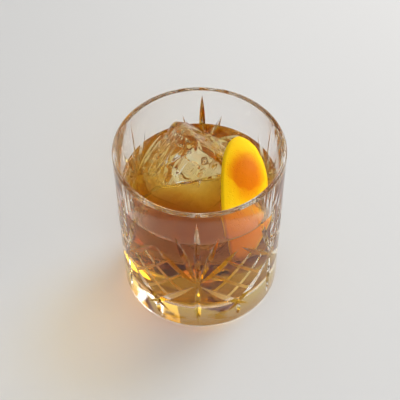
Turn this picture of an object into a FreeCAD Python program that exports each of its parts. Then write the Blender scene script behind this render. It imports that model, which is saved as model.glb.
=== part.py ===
import FreeCAD, Part
import math
import os
import Sketcher
from FreeCAD import Placement, Rotation, Vector

# An old fashioned in its cut tumbler: the glass, the drink up to its level, the block of ice
# that stands out of it and the swathe of orange peel that leans across.  Millimetres, +Z up,
# origin on the table under the middle of the glass, -Y towards the drinker.

SIZES = {
    # tumbler
    "glass_height": 95.0,
    "rim_radius": 42.0,
    "foot_radius": 40.4,
    "heel_round": 4.0,
    "rim_wall": 2.5,
    "foot_wall": 4.3,
    "base_thick": 13.0,
    "floor_round": 8.0,
    "foot_hollow": 0.8,
    "foot_ring": 34.0,
    # cut pattern: fans of rays that spring from points round the waist, hatched diamonds between
    "fan_count": 6,
    "pattern_turn": -2.3,
    "fan_level": 40.0,
    "diamond_top": 65.0,
    "diamond_foot": 19.0,
    "ray_top": 84.0,
    "side_ray_top": 75.0,
    "side_ray_lean": 13.0,
    "fan_eye": 1.6,
    "ray_depth": 1.25,
    "mitre_depth": 1.55,
    "mitre_tail": 9.0,
    "hatch_rows": 3,
    "hatch_depth": 0.85,
    "hatch_end_depth": 0.7,
    "hatch_stop": 0.6,
    "flute_depth": 1.5,
    "flute_foot": 6.0,
    "dart_depth": 1.2,
    "dart_foot": 7.5,
    "wheel_angle": 50.0,
    "wheel_reach": 3.0,
    "wheel_overrun": 2.0,
    # drink
    "fill_level": 70.0,
    "fill_gap": 0.2,
    # ice
    "ice_width": 42.0,
    "ice_depth": 40.0,
    "ice_thick": 34.0,
    "ice_round": 7.0,
    "ice_azimuth": 104.1305,
    "ice_wall_gap": 0.1766,
    "ice_sink": 10.3,
    "ice_tilt": 60.0,
    "ice_roll": 38.7,
    "ice_turn": -5.6,
    # peel
    "peel_length": 57.5,
    "peel_width": 22.6,
    "peel_thick": 2.6,
    "peel_bend": 46.0,
    "peel_curl": 26.0,
    "peel_wall_gap": 0.62,
    "peel_ice_gap": 0.66,
    "peel_rise": 8.4,
    "peel_lean": 21.0,
    "peel_turn": 18.8085,
    "peel_roll": 9.0,
}

doc = FreeCAD.newDocument("old_fashioned")
sheet = doc.addObject("Spreadsheet::Sheet", "Sizes")
for row, (alias, value) in enumerate(SIZES.items(), start=1):
    sheet.set(f"A{row}", alias)
    sheet.set(f"B{row}", str(value))
    sheet.setAlias(f"B{row}", alias)
doc.recompute()


def size(alias):
    """One number of the sheet."""
    return float(sheet.get(alias))


def plane(body, role):
    """An origin plane of the body, found by its role."""
    return next(item for item in body.Origin.OriginFeatures if item.Role == role)


def new_body(name):
    """An empty body."""
    return doc.addObject("PartDesign::Body", name)


def new_sketch(body, name, role):
    """An empty sketch on one of the body's own origin planes."""
    sketch = body.newObject("Sketcher::SketchObject", name)
    sketch.AttachmentSupport = (plane(body, role), [""])
    sketch.MapMode = "FlatFace"
    return sketch


def bind(sketch, kind, *items, formula):
    """A constraint whose value follows a formula on the sheet; names in braces are its aliases."""
    text = formula.replace("{", "Sizes.").replace("}", "")
    index = sketch.addConstraint(Sketcher.Constraint(kind, *items, 1.0))
    sketch.setExpression(f"Constraints[{index}]", text)


def polygon(sketch, corners, formulas):
    """A closed outline.  corners start it near its shape, formulas (x, y) then hold each corner."""
    count = len(corners)
    for i, (x, y) in enumerate(corners):
        x_next, y_next = corners[(i + 1) % count]
        sketch.addGeometry(Part.LineSegment(Vector(x, y, 0), Vector(x_next, y_next, 0)), False)
    for i in range(count):
        sketch.addConstraint(Sketcher.Constraint("Coincident", i, 2, (i + 1) % count, 1))
    for i, (x_rule, y_rule) in enumerate(formulas):
        for kind, rule in (("DistanceX", x_rule), ("DistanceY", y_rule)):
            if rule == "0":
                fixed = "PointOnObject"
                axis = -2 if kind == "DistanceX" else -1
                sketch.addConstraint(Sketcher.Constraint(fixed, i, 1, axis))
            else:
                bind(sketch, kind, -1, 1, i, 1, formula=rule)


def checked_pad(body, sketch, name, length_rule, middle):
    """A pad whose length follows the sheet."""
    pad = body.newObject("PartDesign::Pad", name)
    pad.Profile = sketch
    pad.setExpression("Length", length_rule)
    pad.Midplane = middle
    doc.recompute()
    return pad


def turned_body(name, corners, formulas):
    """A body turned from an outline in the XZ plane, all the way round the glass's axis."""
    body = new_body(name)
    sketch = new_sketch(body, name + "Outline", "XZ_Plane")
    polygon(sketch, corners, formulas)
    turn = body.newObject("PartDesign::Revolution", name + "Turning")
    turn.Profile = sketch
    turn.ReferenceAxis = (sketch, ["V_Axis"])
    turn.Angle = 360.0
    doc.recompute()
    return body, turn


def ring_edges(shape, radius, level):
    """Names of the circular edges round the axis at one radius and level."""
    found = []
    for i, edge in enumerate(shape.Edges, start=1):
        curve = edge.Curve
        if not isinstance(curve, Part.Circle):
            continue
        if abs(curve.Radius - radius) < 0.01 and abs(curve.Center.z - level) < 0.01:
            found.append(f"Edge{i}")
    return found


def rounded(body, base, name, edges, radius_rule):
    """A fillet on named edges of the body's last feature."""
    fillet = body.newObject("PartDesign::Fillet", name)
    fillet.Base = (base, edges)
    fillet.setExpression("Radius", radius_rule)
    doc.recompute()
    return fillet


# --- the tumbler's blank --------------------------------------------------------------------
inner_foot = size("foot_radius") - size("foot_wall")
inner_rim = size("rim_radius") - size("rim_wall")
height = size("glass_height")

blank, blank_turn = turned_body(
    "TumblerBlank",
    [
        (0, 0.8),
        (34, 0),
        (40, 0),
        (42, 95),
        (39.5, 95),
        (36, 13),
        (0, 13),
    ],
    [
        ("0", "{foot_hollow}"),
        ("{foot_ring}", "0"),
        ("{foot_radius}", "0"),
        ("{rim_radius}", "{glass_height}"),
        ("{rim_radius} - {rim_wall}", "{glass_height}"),
        ("{foot_radius} - {foot_wall}", "{base_thick}"),
        ("0", "{base_thick}"),
    ],
)
heel = rounded(
    blank,
    blank_turn,
    "HeelRound",
    ring_edges(blank_turn.Shape, size("foot_radius"), 0.0),
    "Sizes.heel_round",
)
floor = rounded(
    blank,
    heel,
    "FloorRound",
    ring_edges(heel.Shape, inner_foot, size("base_thick")),
    "Sizes.floor_round",
)
lip = rounded(
    blank,
    floor,
    "LipRound",
    ring_edges(floor.Shape, size("rim_radius"), height)
    + ring_edges(floor.Shape, inner_rim, height),
    "Sizes.rim_wall * 0.48",
)
blank.Tip = lip
doc.recompute()


# --- cuts made by V-edged wheels ------------------------------------------------------------
def wall_point(azimuth, level, under=0.0):
    """A point on the outer wall, or under it; azimuth 0 faces the drinker and grows rightwards."""
    rise = level / size("glass_height")
    radius = size("foot_radius") + (size("rim_radius") - size("foot_radius")) * rise - under
    angle = math.radians(azimuth)
    return Vector(radius * math.sin(angle), -radius * math.cos(angle), level)


def wheel_cut(start, end, depth, end_depth=0.0):
    """What a V-edged wheel takes out between two wall points: the sector of a double cone.

    Its edge lies depth under the wall half way, and end_depth under it at both points.
    """
    first = wall_point(*start, end_depth)
    last = wall_point(*end, end_depth)
    middle = wall_point((start[0] + end[0]) / 2, (start[1] + end[1]) / 2)
    run = (last - first).normalize()
    out = Vector(middle.x, middle.y, 0)
    out = (out - run * out.dot(run)).normalize()
    side = run.cross(out)
    half_run = (last - first).Length / 2
    deepest = middle - out * depth
    sag = ((first + last) / 2 - deepest).dot(out)
    radius = (half_run ** 2 + sag ** 2) / (2 * sag)
    centre = deepest + out * radius
    reach = size("wheel_reach")
    flare = reach * math.tan(math.radians(size("wheel_angle")))
    shoulder = deepest + out * reach
    section = [deepest, shoulder + side * flare, shoulder - side * flare, deepest]
    swing = math.degrees(math.asin(half_run / abs(radius)))
    if end_depth == 0.0:
        swing += math.degrees(size("wheel_overrun") / abs(radius))
    face = Part.Face(Part.makePolygon(section))
    face.rotate(centre, side, -swing)
    wedge = face.revolve(centre, side, 2 * swing)
    if wedge.Volume < 0:
        wedge.reverse()
    return wedge


def toward(start, end, distance):
    """The (azimuth, level) that lies the distance from start on the way to end."""
    gap = (wall_point(*end) - wall_point(*start)).Length
    share = distance / gap
    return tuple(a + (b - a) * share for a, b in zip(start, end))


def fan_cuts(azimuth):
    """The cuts of one fan and the diamond on its right, as a list of solids."""
    step = 360.0 / size("fan_count")
    point = (azimuth, size("fan_level"))
    next_point = (azimuth + step, size("fan_level"))
    top = (azimuth + step / 2, size("diamond_top"))
    foot = (azimuth + step / 2, size("diamond_foot"))
    eye = size("fan_eye")
    cuts = []

    def ray(target, depth):
        cuts.append(wheel_cut(toward(point, target, eye), target, depth))

    ray((azimuth, size("ray_top")), size("ray_depth"))
    for lean in (-1, 1):
        ray((azimuth + lean * size("side_ray_lean"), size("side_ray_top")), size("ray_depth"))
        diamond_side = (azimuth + lean * step / 2, size("diamond_top"))
        ray(toward(diamond_side, point, eye / 2), size("ray_depth"))
        below = (azimuth + lean * step / 2, size("diamond_foot"))
        span = (wall_point(*below) - wall_point(*point)).Length
        ray(toward(point, below, span + size("mitre_tail")), size("mitre_depth"))
    ray((azimuth, size("flute_foot")), size("flute_depth"))
    dart = toward(foot, (foot[0], 0.0), eye)
    cuts.append(wheel_cut(dart, (foot[0], size("dart_foot")), size("dart_depth")))

    def between(a, b, share):
        return tuple(p + (q - p) * share for p, q in zip(a, b))

    rows = int(size("hatch_rows"))
    for row in range(1, rows):
        share = row / rows
        ends = (
            (between(point, foot, share), between(top, next_point, share)),
            (between(point, top, share), between(foot, next_point, share)),
        )
        for low, high in ends:
            stop = size("hatch_stop")
            run_in = toward(low, high, stop)
            run_out = toward(high, low, stop)
            cuts.append(wheel_cut(run_in, run_out, size("hatch_depth"), size("hatch_end_depth")))
    return cuts


cuts = []
for fan in range(int(size("fan_count"))):
    cuts += fan_cuts(size("pattern_turn") + fan * 360.0 / size("fan_count"))

glass = doc.addObject("Part::Feature", "Glass")
glass.Label = "glass"
glass.Shape = blank.Shape.cut(cuts)


# --- the drink, the ice and the peel --------------------------------------------------------
WALL_AT_FILL = (
    "{foot_radius} - {foot_wall} + (({rim_radius} - {rim_wall}) - ({foot_radius} - {foot_wall}))"
    " * ({fill_level} - {base_thick}) / ({glass_height} - {base_thick})"
)
pool, pool_turn = turned_body(
    "DrinkPool",
    [
        (0, 13.2),
        (35.8, 13.2),
        (38, 70),
        (0, 70),
    ],
    [
        ("0", "{base_thick} + {fill_gap}"),
        ("{foot_radius} - {foot_wall} - {fill_gap}", "{base_thick} + {fill_gap}"),
        (WALL_AT_FILL + " - {fill_gap}", "{fill_level}"),
        ("0", "{fill_level}"),
    ],
)
pool_floor = rounded(
    pool,
    pool_turn,
    "PoolFloorRound",
    ring_edges(
        pool_turn.Shape, inner_foot - size("fill_gap"), size("base_thick") + size("fill_gap")
    ),
    "Sizes.floor_round - Sizes.fill_gap",
)
pool.Tip = pool_floor
doc.recompute()


def wall_gap(point, round_off=0.0):
    """How far a ball round a point stays clear of the glass's inner wall."""
    flare = (inner_rim - inner_foot) / (height - size("base_thick"))
    wall = inner_foot + flare * (point.z - size("base_thick"))
    slope = math.atan(flare)
    return (wall - math.hypot(point.x, point.y)) * math.cos(slope) - round_off


def first_below(measure, target, low, high):
    """Where, between low and high, a measure that falls on the way passes its target."""
    for _ in range(50):
        middle = (low + high) / 2
        if measure(middle) > target:
            low = middle
        else:
            high = middle
    return low


def at_azimuth(azimuth, distance, level):
    """A point at an azimuth from +X, at a distance from the glass's axis and at a level."""
    angle = math.radians(azimuth)
    return Vector(distance * math.cos(angle), distance * math.sin(angle), level)


# --- where the ice floats: pushed out along its azimuth until its corners near the wall --------
ice_attitude = Rotation(Vector(0, 0, 1), size("ice_turn"))
ice_attitude = ice_attitude.multiply(Rotation(Vector(0, 1, 0), size("ice_roll")))
ice_attitude = ice_attitude.multiply(Rotation(Vector(1, 0, 0), size("ice_tilt")))
ice_core = Vector(size("ice_width"), size("ice_depth"), size("ice_thick")) * 0.5
ice_core = ice_core - Vector(1, 1, 1) * size("ice_round")
ice_corners = [
    ice_attitude.multVec(Vector(i * ice_core.x, j * ice_core.y, k * ice_core.z))
    for i in (-1, 1) for j in (-1, 1) for k in (-1, 1)
]


def ice_place(distance):
    """The middle of the block at a distance from the axis."""
    return at_azimuth(size("ice_azimuth"), distance, size("fill_level") - size("ice_sink"))


def ice_clearance(distance):
    """The ice's least gap to the wall at a distance from the axis."""
    where = ice_place(distance)
    return min(wall_gap(where + corner, size("ice_round")) for corner in ice_corners)


ice_where = ice_place(first_below(ice_clearance, size("ice_wall_gap"), 0.0, inner_rim))


def ice_block(name, grow):
    """The block of ice, or with grow the room that it takes in the drink."""
    body = new_body(name)
    sketch = new_sketch(body, name + "Side", "XY_Plane")
    more = f" + 2 * {grow}" if grow else ""
    half_w = f"({{ice_width}}{more}) / 2"
    half_d = f"({{ice_depth}}{more}) / 2"
    polygon(
        sketch,
        [(-20, -20), (20, -20), (20, 20), (-20, 20)],
        [
            (f"-{half_w}", f"-{half_d}"),
            (half_w, f"-{half_d}"),
            (half_w, half_d),
            (f"-{half_w}", half_d),
        ],
    )
    rule = f"Sizes.ice_thick{more}".replace("{", "Sizes.").replace("}", "")
    pad = checked_pad(body, sketch, name + "Block", rule, True)
    melt = f"Sizes.ice_round + {grow}" if grow else "Sizes.ice_round"
    melt = melt.replace("{", "Sizes.").replace("}", "")
    edges = [f"Edge{i + 1}" for i in range(len(pad.Shape.Edges))]
    fillet = rounded(body, pad, name + "Melt", edges, melt)
    body.Tip = fillet
    body.Placement = Placement(ice_where, ice_attitude)
    return body


ice = ice_block("Ice", None)
ice.Label = "ice"
ice_room = ice_block("IceRoom", "{fill_gap}")


# --- where the peel leans: against the wall on one side and the ice on the other ---------------
def peel_points():
    """Points all over the skin and the pith, from the crest's middle, before the peel is turned."""
    bend = size("peel_bend")
    curl = size("peel_curl")
    found = []
    for ring in range(0, 25):
        for step in range(72):
            share = ring / 24
            angle = 2 * math.pi * step / 72
            x = share * size("peel_width") / 2 * math.cos(angle)
            y = share * size("peel_length") / 2 * math.sin(angle)
            for arc in (curl, curl - size("peel_thick")):
                crest = bend - curl + math.sqrt(arc ** 2 - x ** 2)
                found.append(Vector(x, y, math.sqrt(crest ** 2 - y ** 2) - bend))
    return found


def peel_attitude(azimuth):
    """How the peel is turned at an azimuth."""
    turn = Rotation(Vector(0, 0, 1), azimuth + size("peel_turn"))
    lean = Rotation(Vector(1, 0, 0), size("peel_lean"))
    roll = Rotation(Vector(0, 1, 0), size("peel_roll"))
    return turn.multiply(lean).multiply(roll)


def ice_gap(point):
    """How far a point stays clear of the ice."""
    local = ice_attitude.inverted().multVec(point - ice_where)
    away = [max(abs(a) - c, 0.0) for a, c in zip(local, ice_core)]
    return math.hypot(*away) - size("ice_round")


peel_shape = peel_points()


def peel_place(azimuth):
    """The crest's middle at an azimuth, pushed out until the peel nears the wall."""
    turned = [peel_attitude(azimuth).multVec(point) for point in peel_shape]
    level = size("fill_level") + size("peel_rise")

    def clearance(distance):
        where = at_azimuth(azimuth, distance, level)
        return min(wall_gap(where + point) for point in turned)

    distance = first_below(clearance, size("peel_wall_gap"), 0.0, inner_rim)
    where = at_azimuth(azimuth, distance, level)
    return where, min(ice_gap(where + point) for point in turned)


peel_azimuth = first_below(
    lambda azimuth: peel_place(azimuth)[1],
    size("peel_ice_gap"),
    size("ice_azimuth") - 180.0,
    size("ice_azimuth"),
)
peel_where = peel_place(peel_azimuth)[0]
print("ice at", ice_where, "peel at", peel_where)


def peel_piece(name, grow):
    """The swathe of peel: a band of rind bent along and curled across, trimmed to an oval."""
    more = size("fill_gap") if grow else 0.0
    bend = size("peel_bend")
    curl = size("peel_curl")
    skin = curl + more
    pith = curl - size("peel_thick") - more
    reach = math.radians(40.0)
    seat = Vector(0, bend - curl, 0)
    points = [seat + Vector(r * math.sin(a), r * math.cos(a), 0)
              for r in (skin, pith) for a in (-reach, 0, reach)]
    body = new_body(name + "Band")
    sketch = new_sketch(body, name + "Section", "XZ_Plane")
    sketch.addGeometry(Part.Arc(points[0], points[1], points[2]), False)
    sketch.addGeometry(Part.LineSegment(points[2], points[5]), False)
    sketch.addGeometry(Part.Arc(points[5], points[4], points[3]), False)
    sketch.addGeometry(Part.LineSegment(points[3], points[0]), False)
    band = body.newObject("PartDesign::Revolution", name + "Bend")
    band.Profile = sketch
    band.ReferenceAxis = (sketch, ["H_Axis"])
    band.Angle = 110.0
    band.Midplane = True
    body.Tip = band

    outline = new_body(name + "Outline")
    oval = new_sketch(outline, name + "Oval", "XY_Plane")
    ellipse = Part.Ellipse(
        Vector(0, size("peel_length") / 2 + more, 0),
        Vector(size("peel_width") / 2 + more, 0, 0),
        Vector(0, 0, 0),
    )
    oval.addGeometry(ellipse, False)
    checked_pad(outline, oval, name + "Trim", "Sizes.peel_bend * 1.2", False)

    piece = doc.addObject("Part::Common", name)
    piece.Base = body
    piece.Tool = outline
    doc.recompute()
    attitude = peel_attitude(peel_azimuth)
    piece.Placement = Placement(peel_where - attitude.multVec(Vector(0, 0, bend)), attitude)
    return piece


peel = peel_piece("Peel", False)
peel.Label = "orange_peel"
peel_room = peel_piece("PeelRoom", True)

drink_less_ice = doc.addObject("Part::Cut", "DrinkLessIce")
drink_less_ice.Base = pool
drink_less_ice.Tool = ice_room
drink = doc.addObject("Part::Cut", "Drink")
drink.Base = drink_less_ice
drink.Tool = peel_room
drink.Label = "drink"
doc.recompute()


# --- checks and export ----------------------------------------------------------------------
for item in doc.Objects:
    if "Invalid" in item.State or "Error" in item.State:
        raise RuntimeError(f"{item.Name} failed: {item.State}")

os.makedirs("parts", exist_ok=True)
for item in (glass, drink, ice, peel):
    shape = item.Shape
    if shape.isNull() or not shape.isValid():
        raise RuntimeError(f"{item.Label} has no valid shape")
    print(item.Label, len(shape.Solids), round(shape.Volume / 1000, 2), "ml", shape.BoundBox)
    shape.exportStep(f"parts/{item.Label}.step")
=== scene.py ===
import bpy
import bmesh
import math
import random
from mathutils import Euler, Matrix, Vector, noise
from mathutils.bvhtree import BVHTree


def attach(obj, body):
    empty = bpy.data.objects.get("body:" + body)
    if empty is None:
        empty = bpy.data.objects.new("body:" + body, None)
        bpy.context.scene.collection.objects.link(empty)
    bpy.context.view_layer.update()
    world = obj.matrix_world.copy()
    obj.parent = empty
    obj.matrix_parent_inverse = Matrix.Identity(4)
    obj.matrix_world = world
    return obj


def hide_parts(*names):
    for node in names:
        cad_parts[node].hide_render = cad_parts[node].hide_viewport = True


# An old fashioned in its cut tumbler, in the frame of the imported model: metres, +Z up, origin on
# the table under the middle of the glass, -Y towards the drinker.  The named sizes of the object
# are in millimetres and degrees, save where a comment says otherwise; MM turns them into metres.

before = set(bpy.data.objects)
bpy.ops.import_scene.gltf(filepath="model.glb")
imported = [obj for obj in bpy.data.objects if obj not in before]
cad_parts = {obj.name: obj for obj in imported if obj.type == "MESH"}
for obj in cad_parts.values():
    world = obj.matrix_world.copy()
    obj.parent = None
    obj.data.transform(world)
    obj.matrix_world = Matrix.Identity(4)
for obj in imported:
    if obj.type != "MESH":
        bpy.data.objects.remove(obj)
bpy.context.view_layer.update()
MM = 0.001
ON_AXIS = 1e-6
TINY = 1e-9

# --- the tumbler -------------------------------------------------------------------------------
GLASS_HEIGHT = 95.0
RIM_RADIUS = 42.0
RIM_WALL = 2.5
LIP_ROUND = 1.2
FOOT_RADIUS = 40.4
FOOT_WALL = 4.3
HEEL_ROUND = 4.0
FOOT_HOLLOW = 0.8
FOOT_RING = 34.0
FOOT_RING_ROUND = 0.5
FLOOR_LEVEL = 13.0
FLOOR_ROUND = 8.0
GLASS_ROUND_STEPS = 8
GLASS_LONGEST_RUN = 16.0
GLASS_TURN_STEPS = 180
GLASS_SHARP_ANGLE = 22
# A face is part of the turned wall if it lies this near to it and faces this nearly its way.
UNCUT_WALL_OFF = 0.03
UNCUT_WALL_FACING = 0.96

# --- the cut pattern: azimuths from the drinker's side, levels and depths ----------------------
FAN_COUNT = 6
PATTERN_TURN = -2.3
FAN_LEVEL = 40.0
FAN_EYE = 1.6
DIAMOND_TOP = 65.0
DIAMOND_FOOT = 19.0
RAY_TOP = 90.0
SIDE_RAY_TOP = 77.0
SIDE_RAY_LEAN = 14.5
RAY_DEPTH = 1.45
MITRE_DEPTH = 1.55
MITRE_TAIL = 9.0
HATCH_ROWS = 3
HATCH_DEPTH = 0.85
HATCH_END_DEPTH = 0.7
HATCH_STOP = 0.6
FLUTE_DEPTH = 1.5
FLUTE_FOOT = 6.0
DART_DEPTH = 1.2
DART_FOOT = 7.5
WHEEL_ANGLE = 50.0
WHEEL_REACH = 3.0
WHEEL_OVERRUN = 2.0
WHEEL_STEPS = 14

# --- the drink ---------------------------------------------------------------------------------
FILL_LEVEL = 70.0
FILL_OVERLAP = 0.12
MENISCUS_RISE = 1.3
MENISCUS_REACH = 1.5
MENISCUS_FOOT = 2.0
ICE_CREEP = 0.9
PEEL_CREEP = 0.8
DRINK_ROUND_STEPS = 16
DRINK_LONGEST_RUN = 6.0
DRINK_TURN_STEPS = 220
DRINK_SHARP_ANGLE = 40
# The surface's rings stand closer to each other near the wall, by a power of their number.
SURFACE_RINGS = 100
SURFACE_CROWDING = 1.35
SURFACE_MARGIN = 0.01

# --- the ice -----------------------------------------------------------------------------------
ICE_SIZE = Vector((42.0, 40.0, 34.0))
ICE_ROUND = 7.0
ICE_PLACE = Vector((-3.6, 14.3, 59.7))
ICE_TURN = Euler((math.radians(60.0), math.radians(38.7), math.radians(-5.6)), "XYZ")
ICE_SEAT = Matrix.Translation(ICE_PLACE * MM) @ ICE_TURN.to_matrix().to_4x4()
ICE_EDGE_CUTS = 63
ICE_SMOOTHINGS = 2
ICE_SHARP_ANGLE = 50
ICE_IN_DRINK = 0.1
# Melt has flattened it along planes, hollowed it in slow and quick swells, and left runnels.
FACET_COUNT = 26
FACET_SEED = 17
FACET_DEPTHS = (0.6, 2.2)
MELT_INSET = 0.7
MELT_SWELLS = (
    {"size": 13.0, "height": 0.8, "seed": (3, 1, 7)},
    {"size": 4.5, "height": 0.15, "seed": (9, 4, 2)},
)
RUNNEL_WIDTH = 2.6
RUNNEL_LENGTH = 19.0
RUNNEL_DEPTH = 0.38
RUNNEL_END_FADE = 0.85
# The air in it: how far out it lies, and its least and greatest half sizes.
ICE_BUBBLES = {
    "Count": 70,
    "Seed": 4,
    "Spread": (9, 8, 7),
    "Least": (0.12, 0.12, 0.12),
    "Most": (0.4, 0.4, 0.4),
}
ICE_CRACKS = {
    "Count": 9,
    "Seed": 21,
    "Spread": (11, 10, 9),
    "Least": (2.0, 1.6, 0.03),
    "Most": (6.0, 4.0, 0.05),
}
AIR_TURN = 3.14  # radians, either way

# --- the peel ----------------------------------------------------------------------------------
# The knife's outline, flat: how far it goes each way from the middle, and how round it is there.
PEEL_TIP = 32.2
PEEL_TIP_BULGE = 2.2
PEEL_TIP_TAPER = 0.6
PEEL_TAIL = 53.0
PEEL_TAIL_BULGE_RIGHT = 1.6
PEEL_TAIL_BULGE_LEFT = 2.0
PEEL_TAIL_TAPER = 0.85
PEEL_RIGHT = 13.8
PEEL_LEFT = 11.1
PEEL_WAVES = ((1.7, 0.02, 4), (7, 0.010, 1))  # how many, how high as a share, seed
# Its bend along the crest, which turns downwards past the neck, and its curl across.
PEEL_NECK = 21.0
PEEL_DROOP = 15.0
PEEL_FALL = 105.0
PEEL_BEND = 46.0
PEEL_CURL = 26.0
# Its thickness; the bevel and the pith's thinning are shares of it and of the outline.
PEEL_THICK = 2.6
PEEL_BEVEL_FROM = 0.82
PEEL_BEVEL_DEPTH = 0.55
PEEL_BEVEL_POWER = 1.6
PITH_WIDTH = 0.985
PITH_THINNING = 0.22
PITH_THINNING_POWER = 5
SKIN_BUMPS = {"size": 3.1, "height": 0.05}
PITH_BUMPS = {"size": 1.1, "height": 0.12}
PEEL_PLACE = Vector((21.1, -7.6, 78.4))
PEEL_LEAN = 21.0
PEEL_ROLL = 9.0
PEEL_TURN = -1.0
PEEL_AROUND = 200
PEEL_RINGS = 56
PEEL_SHARP_ANGLE = 50
# The oval of thick zest on the flat rind: its middle, its reach each way and how it fades.
OVAL_X = 1.6
OVAL_Y = 3.0
OVAL_HALF_WIDTH = 12.2
OVAL_UP = 20.0
OVAL_DOWN = 17.0
OVAL_ZEST = 0.98
OVAL_FADE = (1.02, 0.40)
OVAL_BLUR = {"size": 3.0, "height": 0.05}
# The ragged step across the oval, below which less zest is left, and the zest of the tail.
STEP_LEVEL = -3.4
STEP_X = 2.2
STEP_BOW = 0.075
STEP_RAG = (0.5, 1.15, 0.9)  # height, pace and phase
STEP_FADE = (0.9, 0.7)
BELOW_ZEST = (0.40, 0.35)  # on the left, and how much more on the right
BELOW_FADE = (-7.0, 1.0)
TAIL_ZEST = 0.82
TAIL_FADE = (-12.0, -19.0)
TAIL_RIM_FADE = (1.0, 0.9)
SKIN_ZEST = 0.30
THICK_ZEST = 0.5
RIND_WOBBLE = 0.05

# --- the bubbles at the edge of the drink ------------------------------------------------------
EDGE_BUBBLES = 63
EDGE_BUBBLE_SEED = 5
EDGE_BUBBLE_INSET = 0.55
EDGE_BUBBLE_RISE = 0.9
EDGE_BUBBLE_RADII = (0.25, 0.6)
BUBBLE_INSIDE = 0.9
CLUSTER_SIZE = 7.0
CLUSTER_STEP = 2.4  # radians
CLUSTER_SPREAD = 0.13  # radians
CLUSTER_DEPTH = 1.1

# --- the stage, in metres and watts ------------------------------------------------------------
STAGE_HALF = 3.0
STAGE_COLOUR = (0.71, 0.70, 0.685)
SKY_COLOUR = (0.93, 0.94, 0.95)
SKY_LIGHTING = 0.48
SKY_SEEN = 0.78
CAMERA_AIM = Vector((0.0, 0.0, 0.0562))
CAMERA_DISTANCE = 0.6034
CAMERA_ELEVATION = math.radians(50.26)
CAMERA_TILT = math.radians(-0.64)
CAMERA_LENS = 107.9
CAMERA_SENSOR = 36.0


# --- outlines and turned solids ----------------------------------------------------------------
def rounded_outline(corners, steps):
    """Points of an outline in (radius, level) whose corners (radius, level, round) are rounded."""
    points = []
    last = len(corners) - 1
    for i, (r, z, fillet) in enumerate(corners):
        here = Vector((r, z))
        if fillet == 0.0 or i in (0, last):
            points.append(here)
            continue
        back = (Vector(corners[i - 1][:2]) - here).normalized()
        ahead = (Vector(corners[i + 1][:2]) - here).normalized()
        half = back.angle(ahead) / 2
        reach = fillet / math.tan(half)
        centre = here + (back + ahead).normalized() * (fillet / math.sin(half))
        start = here + back * reach - centre
        end = here + ahead * reach - centre
        sweep = start.angle_signed(end)
        for k in range(steps + 1):
            turn = Matrix.Rotation(-sweep * k / steps, 2)
            points.append(centre + turn @ start)
    return points


def divided(points, longest):
    """The same outline with its long runs divided."""
    result = [points[0]]
    for point in points[1:]:
        start = result[-1]
        run = point - start
        count = max(1, math.ceil(run.length / longest))
        result += [start + run * k / count for k in range(1, count + 1)]
    return result


def join_rings(work, rings, steps):
    """Faces between each ring of vertices and the next; a ring may be a single vertex."""
    for low, high in zip(rings, rings[1:]):
        for k in range(steps):
            n = (k + 1) % steps
            corners = (low[k % len(low)], low[n % len(low)],
                       high[n % len(high)], high[k % len(high)])
            work.faces.new(list(dict.fromkeys(corners)))


def mesh_of(work, name, outward=True):
    """The bmesh as a mesh, with its faces turned outwards unless they already are."""
    if outward:
        bmesh.ops.recalc_face_normals(work, faces=work.faces)
    mesh = bpy.data.meshes.new(name)
    work.to_mesh(mesh)
    work.free()
    return mesh


def turned_mesh(name, outline, steps):
    """A closed mesh turned from an outline that starts and ends on the axis, in metres."""
    work = bmesh.new()
    angles = [2 * math.pi * k / steps for k in range(steps)]
    rings = []
    for r, z in outline:
        if r < ON_AXIS:
            rings.append([work.verts.new((0, 0, z * MM))])
            continue
        rings.append([work.verts.new((r * math.cos(a) * MM, r * math.sin(a) * MM, z * MM))
                      for a in angles])
    join_rings(work, rings, steps)
    return mesh_of(work, name)


def inner_radius(level):
    """Radius of the glass's inner wall at a level above its rounded floor."""
    foot = FOOT_RADIUS - FOOT_WALL
    rim = RIM_RADIUS - RIM_WALL
    return foot + (rim - foot) * (level - FLOOR_LEVEL) / (GLASS_HEIGHT - FLOOR_LEVEL)


def bumps(at, size, height, seed=(0, 0, 0)):
    """Smooth noise of a size and a height at a point."""
    return noise.noise(at / size + Vector(seed)) * height


# --- node trees --------------------------------------------------------------------------------
def feed(tree, socket, source):
    """Sets an input to a value, or links it to another node's output."""
    if isinstance(source, bpy.types.NodeSocket):
        tree.links.new(source, socket)
    else:
        socket.default_value = source


def added(tree, kind, inputs=None, **traits):
    """A new node with its properties set and its inputs fed."""
    node = tree.nodes.new(kind)
    for trait, value in traits.items():
        setattr(node, trait, value)
    for label, source in (inputs or {}).items():
        feed(tree, node.inputs[label], source)
    return node


def maths(tree, operation, *sources):
    """The output of a maths node."""
    node = added(tree, "ShaderNodeMath", dict(enumerate(sources)), operation=operation)
    return node.outputs[0]


def geometry_tree(name, **inputs):
    """A geometry tree with a geometry input and output, named inputs, and its entry node."""
    tree = bpy.data.node_groups.new(name, "GeometryNodeTree")
    for label, kind in {"Geometry": "Geometry", **inputs}.items():
        tree.interface.new_socket(label, in_out="INPUT", socket_type="NodeSocket" + kind)
    tree.interface.new_socket("Geometry", in_out="OUTPUT", socket_type="NodeSocketGeometry")
    return tree, tree.nodes.new("NodeGroupInput")


def realized(tree, geometry):
    """The geometry with its instances made real."""
    node = added(tree, "GeometryNodeRealizeInstances", {"Geometry": geometry})
    return node.outputs["Geometry"]


def leave_with_finish(tree, entry, geometry):
    """Ends a tree with the material that its Finish input holds."""
    finish = added(tree, "GeometryNodeSetMaterial", {
        "Geometry": geometry,
        "Material": entry.outputs["Finish"],
    })
    added(tree, "NodeGroupOutput", {"Geometry": finish.outputs["Geometry"]})


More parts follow.
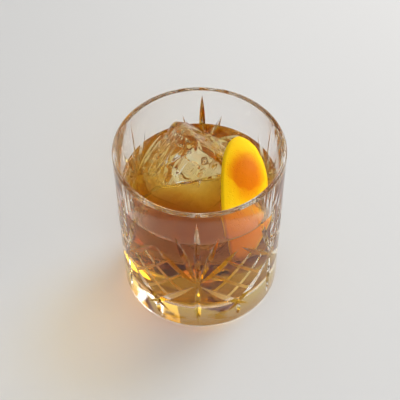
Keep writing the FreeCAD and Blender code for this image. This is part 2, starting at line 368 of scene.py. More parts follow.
def scattered(tree, entry, offset, kind, low, high):
    """A random value for each point between two others, from the Seed input and an offset."""
    first, second, result = {"FLOAT_VECTOR": (0, 1, 0), "FLOAT": (2, 3, 1)}[kind]
    node = added(tree, "FunctionNodeRandomValue", {
        first: low,
        second: high,
        "Seed": maths(tree, "ADD", entry.outputs["Seed"], offset),
    }, data_type=kind)
    return node.outputs[result]


def linked(name, data):
    """A new object in the scene."""
    made = bpy.data.objects.new(name, data)
    bpy.context.collection.objects.link(made)
    return made


def grown(name, mesh, tree, values):
    """The mesh that a tree makes of another, with its named inputs set."""
    seat = linked(name, mesh)
    change = seat.modifiers.new(tree.name, "NODES")
    change.node_group = tree
    for item in tree.interface.items_tree:
        if item.in_out == "INPUT" and item.name in values:
            change[item.identifier] = values[item.name]
    graph = bpy.context.evaluated_depsgraph_get()
    made = bpy.data.meshes.new_from_object(seat.evaluated_get(graph))
    seat.modifiers.clear()
    bpy.data.objects.remove(seat)
    return made


def piece_from(name, mesh, finish, sharp_angle=None):
    """An object at the origin that carries the mesh, smooth up to the sharp angle if it has one."""
    mesh.name = name
    piece = linked(name, mesh)
    mesh.materials.clear()
    mesh.materials.append(finish)
    if sharp_angle is not None:
        mesh.shade_smooth()
        mesh.set_sharp_from_angle(angle=math.radians(sharp_angle))
    return piece


# --- materials ---------------------------------------------------------------------------------
def material(name):
    """A material with an empty tree: the material, the tree and its output."""
    made = bpy.data.materials.new(name)
    made.use_nodes = True
    tree = made.node_tree
    tree.nodes.clear()
    return made, tree, tree.nodes.new("ShaderNodeOutputMaterial")


def ripple_group():
    """A height of slow waves and fine grain in object coordinates."""
    group = bpy.data.node_groups.new("surface ripple", "ShaderNodeTree")
    for label in ("Wave Scale", "Grain Scale", "Grain Share"):
        group.interface.new_socket(label, in_out="INPUT", socket_type="NodeSocketFloat")
    group.interface.new_socket("Height", in_out="OUTPUT", socket_type="NodeSocketFloat")
    entry = group.nodes.new("NodeGroupInput")
    place = group.nodes.new("ShaderNodeTexCoord").outputs["Object"]
    wave = added(group, "ShaderNodeTexNoise", {
        "Vector": place,
        "Scale": entry.outputs["Wave Scale"],
        "Detail": 2.0,
    })
    grain = added(group, "ShaderNodeTexNoise", {
        "Vector": place,
        "Scale": entry.outputs["Grain Scale"],
        "Detail": 3.0,
    })
    added(group, "NodeGroupOutput", {
        "Height": maths(group, "MULTIPLY_ADD", grain.outputs["Fac"],
                        entry.outputs["Grain Share"], wave.outputs["Fac"]),
    })
    return group


RIPPLE = ripple_group()


def clear_finish(name, *, ior, tint, wave, grain, share, strength=0.12, distance=0.0006,
                 colour=(1.0, 1.0, 1.0), glint=1.0):
    """A rippled clear material; a glint below 1 weakens what its surface mirrors.

    It casts only a tint as its shadow, so that lamps light what is in it and behind it.
    """
    made, tree, output = material(name)
    ripple = added(tree, "ShaderNodeGroup", {
        "Wave Scale": wave,
        "Grain Scale": grain,
        "Grain Share": share,
    }, node_tree=RIPPLE)
    bump = added(tree, "ShaderNodeBump", {
        "Strength": strength,
        "Distance": distance,
        "Height": ripple.outputs["Height"],
    })
    shader = added(tree, "ShaderNodeBsdfPrincipled", {
        "Base Color": (*colour, 1),
        "IOR": ior,
        "Roughness": 0.0,
        "Transmission Weight": 1.0,
        "Specular Tint": (glint, glint, glint, 1),
        "Normal": bump.outputs["Normal"],
    })
    path = tree.nodes.new("ShaderNodeLightPath")
    shade = added(tree, "ShaderNodeBsdfTransparent", {"Color": (*tint, 1)})
    mix = added(tree, "ShaderNodeMixShader", {
        "Fac": path.outputs["Is Shadow Ray"],
        1: shader.outputs["BSDF"],
        2: shade.outputs["BSDF"],
    })
    feed(tree, output.inputs["Surface"], mix.outputs["Shader"])
    return made


def drink_finish():
    """Whiskey: clear, and amber where light has come a long way through it."""
    made = clear_finish("whiskey", ior=1.36, tint=(0.90, 0.83, 0.52), glint=0.15,
                        wave=70.0, grain=400.0, share=0.03, strength=0.10)
    tree = made.node_tree
    depth = added(tree, "ShaderNodeVolumeAbsorption", {
        "Color": (0.848, 0.692, 0.010, 1),
        "Density": 100.0,
    })
    feed(tree, tree.nodes["Material Output"].inputs["Volume"], depth.outputs["Volume"])
    return made


# A Mix node has sockets of the same name for each type of data; these are the colour ones.
MIX_COLOUR_A = 6
MIX_COLOUR_B = 7
MIX_COLOUR_RESULT = 2


def ramp(tree, source, stops):
    """The colour of a ramp with stops (place, colour), fed by a source."""
    node = added(tree, "ShaderNodeValToRGB", {"Fac": source})
    ends = node.color_ramp.elements
    while len(ends) < len(stops):
        ends.new(0.5)
    for end, (place, colour) in zip(ends, stops):
        end.position = place
        end.color = (*colour, 1)
    return node.outputs["Color"]


def rind_finish():
    """Orange zest with oil pores, paler and yellow where the knife thinned it, pith below."""
    made, tree, output = material("orange rind")
    place = tree.nodes.new("ShaderNodeTexCoord").outputs["Object"]
    zest = added(tree, "ShaderNodeAttribute", attribute_name="zest").outputs["Fac"]
    wobble = added(tree, "ShaderNodeTexNoise", {"Vector": place, "Scale": 700.0, "Detail": 4.0})
    uneven = maths(tree, "MULTIPLY_ADD", wobble.outputs["Fac"], RIND_WOBBLE, zest)
    colours = ramp(tree, uneven, [
        (0.12, (0.88, 0.70, 0.33)),
        (0.26, (0.95, 0.60, 0.008)),
        (0.42, (0.95, 0.52, 0.004)),
        (0.60, (0.86, 0.35, 0.002)),
        (0.80, (0.72, 0.18, 0.001)),
        (0.97, (0.66, 0.12, 0.001)),
    ])
    pores = added(tree, "ShaderNodeTexVoronoi", {"Vector": place, "Scale": 900.0})
    dots = added(tree, "ShaderNodeMapRange", {
        "Value": pores.outputs["Distance"],
        "From Min": 0.05,
        "From Max": 0.35,
    })
    shade = ramp(tree, dots.outputs[0], [(0.0, (0.72, 0.62, 0.5)), (0.7, (1, 1, 1))])
    darker = added(tree, "ShaderNodeMix", {
        "Factor": 0.5,
        MIX_COLOUR_A: colours,
        MIX_COLOUR_B: shade,
    }, data_type="RGBA", blend_type="MULTIPLY")
    bump = added(tree, "ShaderNodeBump", {
        "Strength": 0.5,
        "Distance": 0.0003,
        "Height": dots.outputs[0],
    })
    gloss = added(tree, "ShaderNodeMapRange", {"Value": zest, "To Min": 0.62, "To Max": 0.34})
    shader = added(tree, "ShaderNodeBsdfPrincipled", {
        "Base Color": darker.outputs[MIX_COLOUR_RESULT],
        "Normal": bump.outputs["Normal"],
        "Roughness": gloss.outputs[0],
        "Specular IOR Level": 0.05,
        "Subsurface Weight": 0.12,
        "Subsurface Radius": (1.0, 0.45, 0.12),
        "Subsurface Scale": 0.0012,
    })
    feed(tree, output.inputs["Surface"], shader.outputs["BSDF"])
    return made


GLASS_FINISH = clear_finish("cut crystal", ior=1.52, tint=(0.97, 0.97, 0.97), glint=0.2,
                            wave=45.0, grain=500.0, share=0.05)
DRINK_FINISH = drink_finish()
FILM_FINISH = clear_finish("bubble film", ior=1.33, tint=(0.98, 0.96, 0.92),
                           colour=(1.0, 0.93, 0.82), wave=900.0, grain=2500.0, share=0.2,
                           strength=0.1, distance=0.0001)
ICE_FINISH = clear_finish("wet ice", ior=1.31, tint=(0.96, 0.96, 0.96),
                          wave=160.0, grain=1200.0, share=0.08)
RIND_FINISH = rind_finish()


# --- the tumbler -------------------------------------------------------------------------------
TUMBLER_OUTLINE = divided(rounded_outline([
    (0.0, FOOT_HOLLOW, 0.0),
    (FOOT_RING, 0.0, FOOT_RING_ROUND),
    (FOOT_RADIUS, 0.0, HEEL_ROUND),
    (RIM_RADIUS, GLASS_HEIGHT, LIP_ROUND),
    (RIM_RADIUS - RIM_WALL, GLASS_HEIGHT, LIP_ROUND),
    (FOOT_RADIUS - FOOT_WALL, FLOOR_LEVEL, FLOOR_ROUND),
    (0.0, FLOOR_LEVEL, 0.0),
], GLASS_ROUND_STEPS), GLASS_LONGEST_RUN)


def wall_point(azimuth, level, under=0.0):
    """A point on the outer wall, or under it; azimuth 0 faces the drinker and grows rightwards."""
    radius = FOOT_RADIUS + (RIM_RADIUS - FOOT_RADIUS) * level / GLASS_HEIGHT - under
    angle = math.radians(azimuth)
    return Vector((radius * math.sin(angle), -radius * math.cos(angle), level))


def between(a, b, share):
    """The (azimuth, level) at a share of the way from a to b."""
    return tuple(p + (q - p) * share for p, q in zip(a, b))


def toward(start, end, distance):
    """The (azimuth, level) that lies the distance from start on the way to end."""
    return between(start, end, distance / (wall_point(*end) - wall_point(*start)).length)


def wheel_cut(start, end, depth, end_depth=0.0):
    """What a V-edged wheel takes out between two wall points: the sector of a double cone."""
    first = wall_point(*start, end_depth)
    last = wall_point(*end, end_depth)
    middle = wall_point((start[0] + end[0]) / 2, (start[1] + end[1]) / 2)
    run = (last - first).normalized()
    out = Vector((middle.x, middle.y, 0))
    out = (out - run * out.dot(run)).normalized()
    side = run.cross(out)
    half_run = (last - first).length / 2
    deepest = middle - out * depth
    sag = ((first + last) / 2 - deepest).dot(out)
    radius = (half_run ** 2 + sag ** 2) / (2 * sag)
    centre = deepest + out * radius
    flare = WHEEL_REACH * math.tan(math.radians(WHEEL_ANGLE))
    shoulder = deepest + out * WHEEL_REACH
    section = [deepest, shoulder + side * flare, shoulder - side * flare]
    swing = math.asin(half_run / abs(radius))
    if end_depth == 0.0:
        swing += WHEEL_OVERRUN / abs(radius)
    work = bmesh.new()
    rings = []
    for k in range(WHEEL_STEPS + 1):
        turn = Matrix.Rotation(-swing + 2 * swing * k / WHEEL_STEPS, 3, side)
        rings.append([work.verts.new((centre + turn @ (p - centre)) * MM) for p in section])
    join_rings(work, rings, len(section))
    work.faces.new(rings[0][::-1])
    work.faces.new(rings[-1])
    return mesh_of(work, "wheel_cut")


def fan_cuts():
    """The cuts of one fan and of the diamond on its right."""
    step = 360.0 / FAN_COUNT
    point = (PATTERN_TURN, FAN_LEVEL)
    next_point = (PATTERN_TURN + step, FAN_LEVEL)
    top = (PATTERN_TURN + step / 2, DIAMOND_TOP)
    foot = (PATTERN_TURN + step / 2, DIAMOND_FOOT)
    found = []

    def ray(target, depth):
        """Adds the cut from the fan's eye to a point of the wall."""
        found.append(wheel_cut(toward(point, target, FAN_EYE), target, depth))

    ray((PATTERN_TURN, RAY_TOP), RAY_DEPTH)
    ray((PATTERN_TURN, FLUTE_FOOT), FLUTE_DEPTH)
    for lean in (-1, 1):
        ray((PATTERN_TURN + lean * SIDE_RAY_LEAN, SIDE_RAY_TOP), RAY_DEPTH)
        above = (PATTERN_TURN + lean * step / 2, DIAMOND_TOP)
        ray(toward(above, point, FAN_EYE / 2), RAY_DEPTH)
        below = (PATTERN_TURN + lean * step / 2, DIAMOND_FOOT)
        span = (wall_point(*below) - wall_point(*point)).length
        ray(toward(point, below, span + MITRE_TAIL), MITRE_DEPTH)
    dart = toward(foot, (foot[0], 0.0), FAN_EYE)
    found.append(wheel_cut(dart, (foot[0], DART_FOOT), DART_DEPTH))
    for row in range(1, HATCH_ROWS):
        share = row / HATCH_ROWS
        for low, high in (
            (between(point, foot, share), between(top, next_point, share)),
            (between(point, top, share), between(foot, next_point, share)),
        ):
            run_in = toward(low, high, HATCH_STOP)
            run_out = toward(high, low, HATCH_STOP)
            found.append(wheel_cut(run_in, run_out, HATCH_DEPTH, HATCH_END_DEPTH))
    return found


def cutting_tree(wheels):
    """Repeats one fan's cuts round the wall and takes them out of the blank."""
    tree, entry = geometry_tree("fans cut into the wall", Fans="Int", Finish="Material")
    spots = added(tree, "GeometryNodeMeshLine", {
        "Offset": (0, 0, 0),
        "Count": entry.outputs["Fans"],
    }, mode="OFFSET")
    number = tree.nodes.new("GeometryNodeInputIndex").outputs[0]
    turn = maths(tree, "DIVIDE", 2 * math.pi, entry.outputs["Fans"])
    axis = added(tree, "ShaderNodeCombineXYZ", {"Z": maths(tree, "MULTIPLY", number, turn)})
    cut = added(tree, "GeometryNodeMeshBoolean", {"Mesh 1": entry.outputs["Geometry"]},
                operation="DIFFERENCE", solver="EXACT")
    for wheel in wheels:
        source = added(tree, "GeometryNodeObjectInfo", {"Object": wheel, "As Instance": True})
        copies = added(tree, "GeometryNodeInstanceOnPoints", {
            "Points": spots.outputs["Mesh"],
            "Instance": source.outputs["Geometry"],
            "Rotation": axis.outputs[0],
        })
        feed(tree, cut.inputs["Mesh 2"], realized(tree, copies.outputs["Instances"]))
    leave_with_finish(tree, entry, realized(tree, cut.outputs["Mesh"]))
    return tree


def outline_normals(outline):
    """A normal at each point of an outline, to the side that its turned solid faces."""
    runs = [(b - a).normalized() for a, b in zip(outline, outline[1:])]
    still = Vector((0, 0))
    normals = []
    for before, after in zip([still, *runs], [*runs, still]):
        run = (before + after).normalized()
        normals.append(Vector((run.y, -run.x)))
    return normals


def true_normals(mesh, outline):
    """Sets the exact normals of the turned surface, and leaves the cuts' own."""
    normals = outline_normals(outline)

    def surface_normal(co):
        """The turned surface's normal at its nearest point, and how far off that is."""
        here = Vector((math.hypot(co.x, co.y), co.z)) / MM
        nearest = None
        for i, (a, b) in enumerate(zip(outline, outline[1:])):
            run = b - a
            share = max(0.0, min(1.0, (here - a).dot(run) / run.length_squared))
            off = (here - a - run * share).length
            if nearest is None or off < nearest[0]:
                nearest = (off, i, share)
        off, i, share = nearest
        flat = normals[i].lerp(normals[i + 1], share).normalized()
        length = max(math.hypot(co.x, co.y), TINY)
        out = Vector((co.x / length, co.y / length, 0))
        return out * flat.x + Vector((0, 0, 1)) * flat.y, off

    exact = [surface_normal(vert.co)[0] for vert in mesh.vertices]
    corner = [Vector(n.vector) for n in mesh.corner_normals]
    for face in mesh.polygons:
        middle, off = surface_normal(face.center)
        if off > UNCUT_WALL_OFF or face.normal.dot(middle) < UNCUT_WALL_FACING:
            continue
        for loop in face.loop_indices:
            corner[loop] = exact[mesh.loops[loop].vertex_index]
    mesh.normals_split_custom_set([tuple(n) for n in corner])


def tumbler_piece():
    """The turned blank with every fan cut into its wall."""
    blank = turned_mesh("blank", TUMBLER_OUTLINE, GLASS_TURN_STEPS)
    wheels = [linked("wheel", cut) for cut in fan_cuts()]
    values = {"Fans": FAN_COUNT, "Finish": GLASS_FINISH}
    mesh = grown("blank", blank, cutting_tree(wheels), values)
    for wheel in wheels:
        bpy.data.objects.remove(wheel)
    piece = piece_from("tumbler", mesh, GLASS_FINISH, GLASS_SHARP_ANGLE)
    true_normals(mesh, TUMBLER_OUTLINE)
    return piece


# --- the ice -----------------------------------------------------------------------------------
def ice_facets():
    """Planes that melt has flattened the block along: a direction and how far in each cuts."""
    rng = random.Random(FACET_SEED)
    planes = []
    for _ in range(FACET_COUNT):
        away = Vector((rng.gauss(0, 1), rng.gauss(0, 1), rng.gauss(0, 1))).normalized()
        planes.append((away, rng.uniform(*FACET_DEPTHS)))
    return planes


def ice_point(direction, facets):
    """Where the block's melted surface lies in a direction from its middle, in its own frame."""
    half = ICE_SIZE / 2
    core = half - Vector((ICE_ROUND,) * 3)
    flat = direction / max(abs(direction[i]) / half[i] for i in range(3))
    near = Vector([max(-core[i], min(core[i], flat[i])) for i in range(3)])
    away = flat - near
    point = near + away.normalized() * ICE_ROUND if away.length > TINY else flat
    for facing, depth in facets:
        support = sum(abs(facing[i]) * core[i] for i in range(3)) + ICE_ROUND - depth
        reach = point.dot(facing)
        if reach > support:
            point = point * (support / reach)
    return point


def ice_shape(name, shrink=0.0):
    """The melted block in its own frame, drawn in by shrink."""
    facets = ice_facets()
    work = bmesh.new()
    bmesh.ops.create_cube(work, size=2.0)
    bmesh.ops.subdivide_edges(work, edges=work.edges, cuts=ICE_EDGE_CUTS, use_grid_fill=True)
    for vert in work.verts:
        vert.co = ice_point(vert.co.copy(), facets)
    for _ in range(ICE_SMOOTHINGS):
        bmesh.ops.smooth_vert(work, verts=work.verts, factor=0.5,
                              use_axis_x=True, use_axis_y=True, use_axis_z=True)
    work.normal_update()
    moves = []
    for vert in work.verts:
        melt = sum(bumps(vert.co, **swell) for swell in MELT_SWELLS)
        x, y, z = vert.co
        runnel = noise.noise(Vector((x / RUNNEL_WIDTH, y / RUNNEL_LENGTH, z / RUNNEL_WIDTH)))
        melt += runnel * RUNNEL_DEPTH * (1 - RUNNEL_END_FADE * abs(vert.normal.y))
        moves.append(vert.normal * (melt - MELT_INSET - shrink))
    for vert, move in zip(work.verts, moves):
        vert.co = (vert.co + move) * MM
    return mesh_of(work, name, outward=False)


def air_tree():
    """Leaves air in the ice: round bubbles and flat cracks, as shells that face inwards."""
    tree, entry = geometry_tree("air in the ice", Count="Int", Seed="Int", Spread="Vector",
                                Least="Vector", Most="Vector", Finish="Material")
    spread = entry.outputs["Spread"]
    opposite = added(tree, "ShaderNodeVectorMath", {0: spread, "Scale": -1.0}, operation="SCALE")
    line = added(tree, "GeometryNodeMeshLine", {"Count": entry.outputs["Count"]})
    spots = added(tree, "GeometryNodeSetPosition", {
        "Geometry": line.outputs["Mesh"],
        "Position": scattered(tree, entry, 0, "FLOAT_VECTOR", opposite.outputs[0], spread),
    })
    ball = added(tree, "GeometryNodeMeshIcoSphere", {"Radius": 1.0, "Subdivisions": 3})
    put = added(tree, "GeometryNodeInstanceOnPoints", {
        "Points": spots.outputs["Geometry"],
        "Instance": ball.outputs["Mesh"],
        "Rotation": scattered(tree, entry, 7, "FLOAT_VECTOR", (-AIR_TURN,) * 3, (AIR_TURN,) * 3),
        "Scale": scattered(tree, entry, 3, "FLOAT_VECTOR",
                           entry.outputs["Least"], entry.outputs["Most"]),
    })
    inward = added(tree, "GeometryNodeFlipFaces", {
        "Mesh": realized(tree, put.outputs["Instances"]),
    })
    both = tree.nodes.new("GeometryNodeJoinGeometry")
    for part in (inward.outputs["Mesh"], entry.outputs["Geometry"]):
        feed(tree, both.inputs["Geometry"], part)
    leave_with_finish(tree, entry, both.outputs["Geometry"])
    return tree


def ice_piece():
    """The melted block with its bubbles and cracks, made in its own frame and then placed."""
    tree = air_tree()
    mesh = ice_shape("ice_block")
    for air in (ICE_BUBBLES, ICE_CRACKS):
        values = {label: tuple(c * MM for c in value) if isinstance(value, tuple) else value
                  for label, value in air.items()}
        mesh = grown("ice_block", mesh, tree, {**values, "Finish": ICE_FINISH})
    mesh.transform(ICE_SEAT)
    return piece_from("ice_block", mesh, ICE_FINISH, ICE_SHARP_ANGLE)


# --- the drink in the glass --------------------------------------------------------------------
def drink_mesh(ice, peel):
    """The drink up to its level, with a meniscus at the wall, the ice and the peel."""
    low = FLOOR_LEVEL - FILL_OVERLAP
    foot = FOOT_RADIUS - FOOT_WALL + FILL_OVERLAP
    side = inner_radius(FILL_LEVEL) + FILL_OVERLAP
    edge = inner_radius(FILL_LEVEL + MENISCUS_RISE)
    outline = rounded_outline([
        (0.0, low, 0.0),
        (foot, low, FLOOR_ROUND + FILL_OVERLAP),
        (side, FILL_LEVEL - MENISCUS_FOOT, 0.0),
    ], DRINK_ROUND_STEPS)
    outline.append(Vector((side, FILL_LEVEL + MENISCUS_RISE)))
    outline = divided(outline, DRINK_LONGEST_RUN)
    for k in range(SURFACE_RINGS):
        radius = edge * (1 - (k / SURFACE_RINGS) ** SURFACE_CROWDING)
        rise = MENISCUS_RISE * math.exp(-(edge - radius) / MENISCUS_REACH)
        outline.append(Vector((radius, FILL_LEVEL + rise)))
    outline.append(Vector((0.0, FILL_LEVEL)))
    mesh = turned_mesh("drink_pool", outline, DRINK_TURN_STEPS)
    top = (FILL_LEVEL - SURFACE_MARGIN) * MM
    rim = (edge + SURFACE_MARGIN) * MM
    graph = bpy.context.evaluated_depsgraph_get()
    climbs = [(BVHTree.FromObject(piece, graph), creep)
              for piece, creep in ((ice, ICE_CREEP), (peel, PEEL_CREEP))]
    for vert in mesh.vertices:
        x, y, z = vert.co
        if z < top or math.hypot(x, y) > rim:
            continue
        at = Vector((x, y, FILL_LEVEL * MM))
        for tree, creep in climbs:
            gap = tree.find_nearest(at)[3] / MM
            vert.co.z += creep * MM * math.exp(-gap / MENISCUS_REACH)
    return mesh


def drink_piece(peel):
    """The drink with room cut out for the ice, a little less than the ice needs."""
    room_mesh = ice_shape("ice_room", ICE_IN_DRINK)
    room_mesh.transform(ICE_SEAT)
    room = linked("ice_room", room_mesh)
    seat = linked("pool", drink_mesh(room, peel))
    cut = seat.modifiers.new("room for the ice", "BOOLEAN")
    cut.operation = "DIFFERENCE"
    cut.object = room
    cut.solver = "EXACT"
    graph = bpy.context.evaluated_depsgraph_get()
    mesh = bpy.data.meshes.new_from_object(seat.evaluated_get(graph))
    for used in (seat, room):
        bpy.data.objects.remove(used)
    return piece_from("drink_pool", mesh, DRINK_FINISH, DRINK_SHARP_ANGLE)


# --- the swathe of peel ------------------------------------------------------------------------
def peel_crest(along):
    """The crest's point and upward normal, in (along, up), at a length from its middle."""
    angle = along / PEEL_BEND
    if along > -PEEL_NECK:
        reach, up = PEEL_BEND * math.sin(angle), PEEL_BEND * (math.cos(angle) - 1)
        return Vector((reach, up)), Vector((math.sin(angle), math.cos(angle)))
    neck = -PEEL_NECK / PEEL_BEND
    tight = max(neck + (along + PEEL_NECK) / PEEL_DROOP, math.radians(-PEEL_FALL))
    reach = PEEL_BEND * math.sin(neck) + PEEL_DROOP * (math.sin(tight) - math.sin(neck))
    up = PEEL_BEND * (math.cos(neck) - 1) + PEEL_DROOP * (math.cos(tight) - math.cos(neck))
    straight = along + PEEL_NECK - (tight - neck) * PEEL_DROOP
    return (Vector((reach + straight * math.cos(tight), up - straight * math.sin(tight))),
            Vector((math.sin(tight), math.cos(tight))))


def peel_surface(x, y, down):
    """A point of the bent and curled rind at x across, y along and some depth under the skin."""
    across = math.asin(x / PEEL_CURL)
    crest, normal = peel_crest(y)
    sunk = PEEL_CURL - (PEEL_CURL - down) * math.cos(across)
    point = crest - normal * sunk
    return Vector(((PEEL_CURL - down) * math.sin(across), point.x, point.y))


def peel_outline(angle):
    """Where the knife's outline lies at an angle: across and along, wavy, pointed at the tip."""
    side, end = math.cos(angle), math.sin(angle)
    wave = 1.0
    for pace, height, seed in PEEL_WAVES:
        wave += height * noise.noise(Vector((side * pace, end * pace, seed)))
    wide = PEEL_RIGHT if side > 0 else PEEL_LEFT
    if end > 0:
        long, bulge, taper = PEEL_TIP, PEEL_TIP_BULGE, PEEL_TIP_TAPER
    else:
        long, taper = PEEL_TAIL, PEEL_TAIL_TAPER
        bulge = PEEL_TAIL_BULGE_RIGHT if side > 0 else PEEL_TAIL_BULGE_LEFT
    width = max(0.0, 1 - abs(end) ** bulge) ** taper
    return math.copysign(wide * width, side) * wave, long * end * wave


def eased(value, low, high):
    """0 below low, 1 above high, smooth between; low may be the higher."""
    share = max(0.0, min(1.0, (value - low) / (high - low)))
    return share * share * (3 - 2 * share)


def zest_share(x, y, share):
    """How thick the zest is left: thin at the knife's edge, thick in the oval and at the tail."""
    reach = OVAL_UP if y > OVAL_Y else OVAL_DOWN
    off = math.hypot((x - OVAL_X) / OVAL_HALF_WIDTH, (y - OVAL_Y) / reach)
    off += bumps(Vector((x, y, 8)), **OVAL_BLUR)
    oval = OVAL_ZEST * eased(off, *OVAL_FADE)
    rag, pace, phase = STEP_RAG
    step = STEP_LEVEL + STEP_BOW * (x - STEP_X) ** 2 + rag * math.sin(x * pace + phase)
    least, more = BELOW_ZEST
    below = least + more * eased(x, *BELOW_FADE)
    oval *= below + (1 - below) * eased(y, step - STEP_FADE[0], step + STEP_FADE[1])
    tail = TAIL_ZEST * eased(y, *TAIL_FADE) * eased(share, *TAIL_RIM_FADE)
    return max(oval, tail)


def peel_layers():
    """The rings of the rind: share of the outline, depth under the skin, and if it is skin."""
    shares = [k / PEEL_RINGS for k in range(PEEL_RINGS + 1)]
    for share in shares:
        bevel = max(0.0, (share - PEEL_BEVEL_FROM) / (1 - PEEL_BEVEL_FROM))
        yield share, PEEL_THICK * PEEL_BEVEL_DEPTH * bevel ** PEEL_BEVEL_POWER, True
    for share in reversed(shares):
        thinning = PITH_THINNING * share ** PITH_THINNING_POWER
        yield share * PITH_WIDTH, PEEL_THICK * (1 - thinning), False


def peel_mesh():
    """The swathe of rind: skin, bevelled edge and pith, with a zest share on each point."""
    work = bmesh.new()
    zest = work.verts.layers.float.new("zest")
    rows = []
    for share, down, skin in peel_layers():
        row = []
        for k in range(PEEL_AROUND if share else 1):
            x, y = (share * v for v in peel_outline(2 * math.pi * k / PEEL_AROUND))
            rough = bumps(Vector((x, y, 0)), **SKIN_BUMPS)
            if not skin:
                rough += bumps(Vector((x, y, 9)), **PITH_BUMPS)
            vert = work.verts.new(peel_surface(x, y, down - rough))
            vert[zest] = SKIN_ZEST + THICK_ZEST * zest_share(x, y, share) if skin else 0.0
            row.append(vert)
        rows.append(row)
    join_rings(work, rows, PEEL_AROUND)
    mesh = mesh_of(work, "peel_swathe")
    attitude = Matrix.Rotation(math.radians(PEEL_TURN), 4, "Z")
    attitude @= Matrix.Rotation(math.radians(PEEL_LEAN), 4, "X")
    attitude @= Matrix.Rotation(math.radians(PEEL_ROLL), 4, "Y")
    mesh.transform(Matrix.Scale(MM, 4) @ Matrix.Translation(PEEL_PLACE) @ attitude)
    return mesh


# --- bubbles along the edge of the drink -------------------------------------------------------
def bubble_tree():
    """Small thin-walled bubbles gathered in clusters on a ring."""
    tree, entry = geometry_tree("bubbles at the edge", Ring="Float", Level="Float",
                                Count="Int", Seed="Int", Finish="Material")
    line = added(tree, "GeometryNodeMeshLine", {"Count": entry.outputs["Count"]})
    number = tree.nodes.new("GeometryNodeInputIndex").outputs[0]
    cluster = maths(tree, "FLOOR", maths(tree, "DIVIDE", number, CLUSTER_SIZE))
    angle = maths(tree, "ADD", maths(tree, "MULTIPLY", cluster, CLUSTER_STEP),
                  scattered(tree, entry, 1, "FLOAT", -CLUSTER_SPREAD, CLUSTER_SPREAD))
    radius = maths(tree, "SUBTRACT", entry.outputs["Ring"],
                   scattered(tree, entry, 2, "FLOAT", 0.0, CLUSTER_DEPTH * MM))
    spot = added(tree, "ShaderNodeCombineXYZ", {
        "X": maths(tree, "MULTIPLY", radius, maths(tree, "COSINE", angle)),
        "Y": maths(tree, "MULTIPLY", radius, maths(tree, "SINE", angle)),
        "Z": entry.outputs["Level"],
    })
    spots = added(tree, "GeometryNodeSetPosition", {
        "Geometry": line.outputs["Mesh"],
        "Position": spot.outputs[0],
    })
    outer, inner = (
        added(tree, "GeometryNodeMeshIcoSphere", {"Radius": size, "Subdivisions": 2})
        for size in (1.0, BUBBLE_INSIDE)
    )
    hollow = added(tree, "GeometryNodeFlipFaces", {"Mesh": inner.outputs["Mesh"]})
    film = tree.nodes.new("GeometryNodeJoinGeometry")
    for part in (hollow, outer):
        feed(tree, film.inputs["Geometry"], part.outputs["Mesh"])
    smooth = added(tree, "GeometryNodeSetShadeSmooth", {"Geometry": film.outputs["Geometry"]})
    low, high = EDGE_BUBBLE_RADII
    put = added(tree, "GeometryNodeInstanceOnPoints", {
        "Points": spots.outputs["Geometry"],
        "Instance": smooth.outputs["Geometry"],
        "Scale": scattered(tree, entry, 3, "FLOAT", low * MM, high * MM),
    })
    leave_with_finish(tree, entry, realized(tree, put.outputs["Instances"]))
    return tree


def bubbles_piece():
    """The bubbles that gather where the drink meets the wall."""
    seed = bpy.data.meshes.new("edge_bubbles")
    mesh = grown("edge_bubbles", seed, bubble_tree(), {
        "Ring": (inner_radius(FILL_LEVEL) - EDGE_BUBBLE_INSET) * MM,
        "Level": (FILL_LEVEL + EDGE_BUBBLE_RISE) * MM,
        "Count": EDGE_BUBBLES,
        "Seed": EDGE_BUBBLE_SEED,
        "Finish": FILM_FINISH,
    })
    return piece_from("edge_bubbles", mesh, FILM_FINISH)


# --- the pieces handed over --------------------------------------------------------------------
def placed(piece, node):
    """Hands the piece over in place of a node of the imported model."""
    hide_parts(node)
    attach(piece, "root")


tumbler = tumbler_piece()
placed(tumbler, "glass")

ice = ice_piece()
placed(ice, "ice")

peel = piece_from("peel_swathe", peel_mesh(), RIND_FINISH, PEEL_SHARP_ANGLE)
placed(peel, "orange_peel")

drink = drink_piece(peel)
placed(drink, "drink")

bubbles = bubbles_piece()
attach(bubbles, "root")


# --- stage, light and camera -------------------------------------------------------------------
def stage_floor():
    """A plain matt floor."""
    work = bmesh.new()
    bmesh.ops.create_grid(work, x_segments=1, y_segments=1, size=STAGE_HALF)
    made, tree, output = material("pale floor")
    shader = added(tree, "ShaderNodeBsdfPrincipled", {
        "Base Color": (*STAGE_COLOUR, 1),
        "Roughness": 0.9,
        "Specular IOR Level": 0.0,
    })
    feed(tree, output.inputs["Surface"], shader.outputs["BSDF"])
    floor = piece_from("floor", mesh_of(work, "floor", outward=False), made)


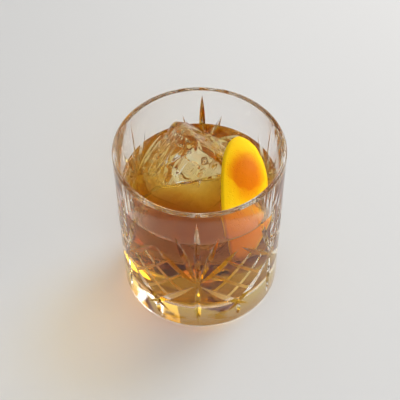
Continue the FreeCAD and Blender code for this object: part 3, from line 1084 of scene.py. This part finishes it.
def area_lamp(name, place, aim, size, power):
    """A round soft lamp that the camera doesn't see."""
    data = bpy.data.lights.new(name, "AREA")
    data.shape = "DISK"
    data.size = size
    data.energy = power
    lamp = linked(name, data)
    lamp.visible_camera = False
    lamp.location = place
    lamp.rotation_euler = (Vector(aim) - Vector(place)).to_track_quat("-Z", "Y").to_euler()


def studio_sky():
    """An even sky that is seen and mirrored brighter than it lights."""
    world = bpy.data.worlds.new("studio")
    bpy.context.scene.world = world
    world.use_nodes = True
    sky = world.node_tree
    seen = sky.nodes.new("ShaderNodeLightPath").outputs
    shown = maths(sky, "MAXIMUM", seen["Is Camera Ray"], seen["Is Glossy Ray"])
    level = added(sky, "ShaderNodeMapRange", {
        "Value": maths(sky, "MAXIMUM", shown, seen["Is Transmission Ray"]),
        "To Min": SKY_LIGHTING,
        "To Max": SKY_SEEN,
    })
    background = sky.nodes["Background"]
    feed(sky, background.inputs["Color"], (*SKY_COLOUR, 1))
    feed(sky, background.inputs["Strength"], level.outputs[0])


def studio_camera():
    """The camera, looking down into the glass from the drinker's side."""
    camera = linked("camera", bpy.data.cameras.new("camera"))
    camera.data.lens = CAMERA_LENS
    camera.data.sensor_width = CAMERA_SENSOR
    camera.data.clip_start = 0.01
    away = Vector((0, -math.cos(CAMERA_ELEVATION), math.sin(CAMERA_ELEVATION)))
    camera.location = CAMERA_AIM + away * CAMERA_DISTANCE
    camera.rotation_euler = (
        Matrix.Rotation(math.pi / 2 - CAMERA_ELEVATION, 3, "X")
        @ Matrix.Rotation(CAMERA_TILT, 3, "Z")
    ).to_euler()
    bpy.context.scene.camera = camera


stage_floor()
area_lamp("key", place=(0.50, 0.48, 0.75), aim=(0, 0, 0.04), size=0.45, power=4.7)
area_lamp("back", place=(0.33, 0.60, 0.32), aim=(0, 0, 0.04), size=0.46, power=0.7)
area_lamp("fill", place=(0.22, -0.72, 0.55), aim=(0, 0, 0.05), size=0.6, power=2.4)
studio_sky()
studio_camera()
bounces = bpy.context.scene.cycles
bounces.max_bounces = 32
bounces.transmission_bounces = 28
bounces.glossy_bounces = 28
bounces.transparent_max_bounces = 24
bpy.context.scene.view_settings.view_transform = "Standard"
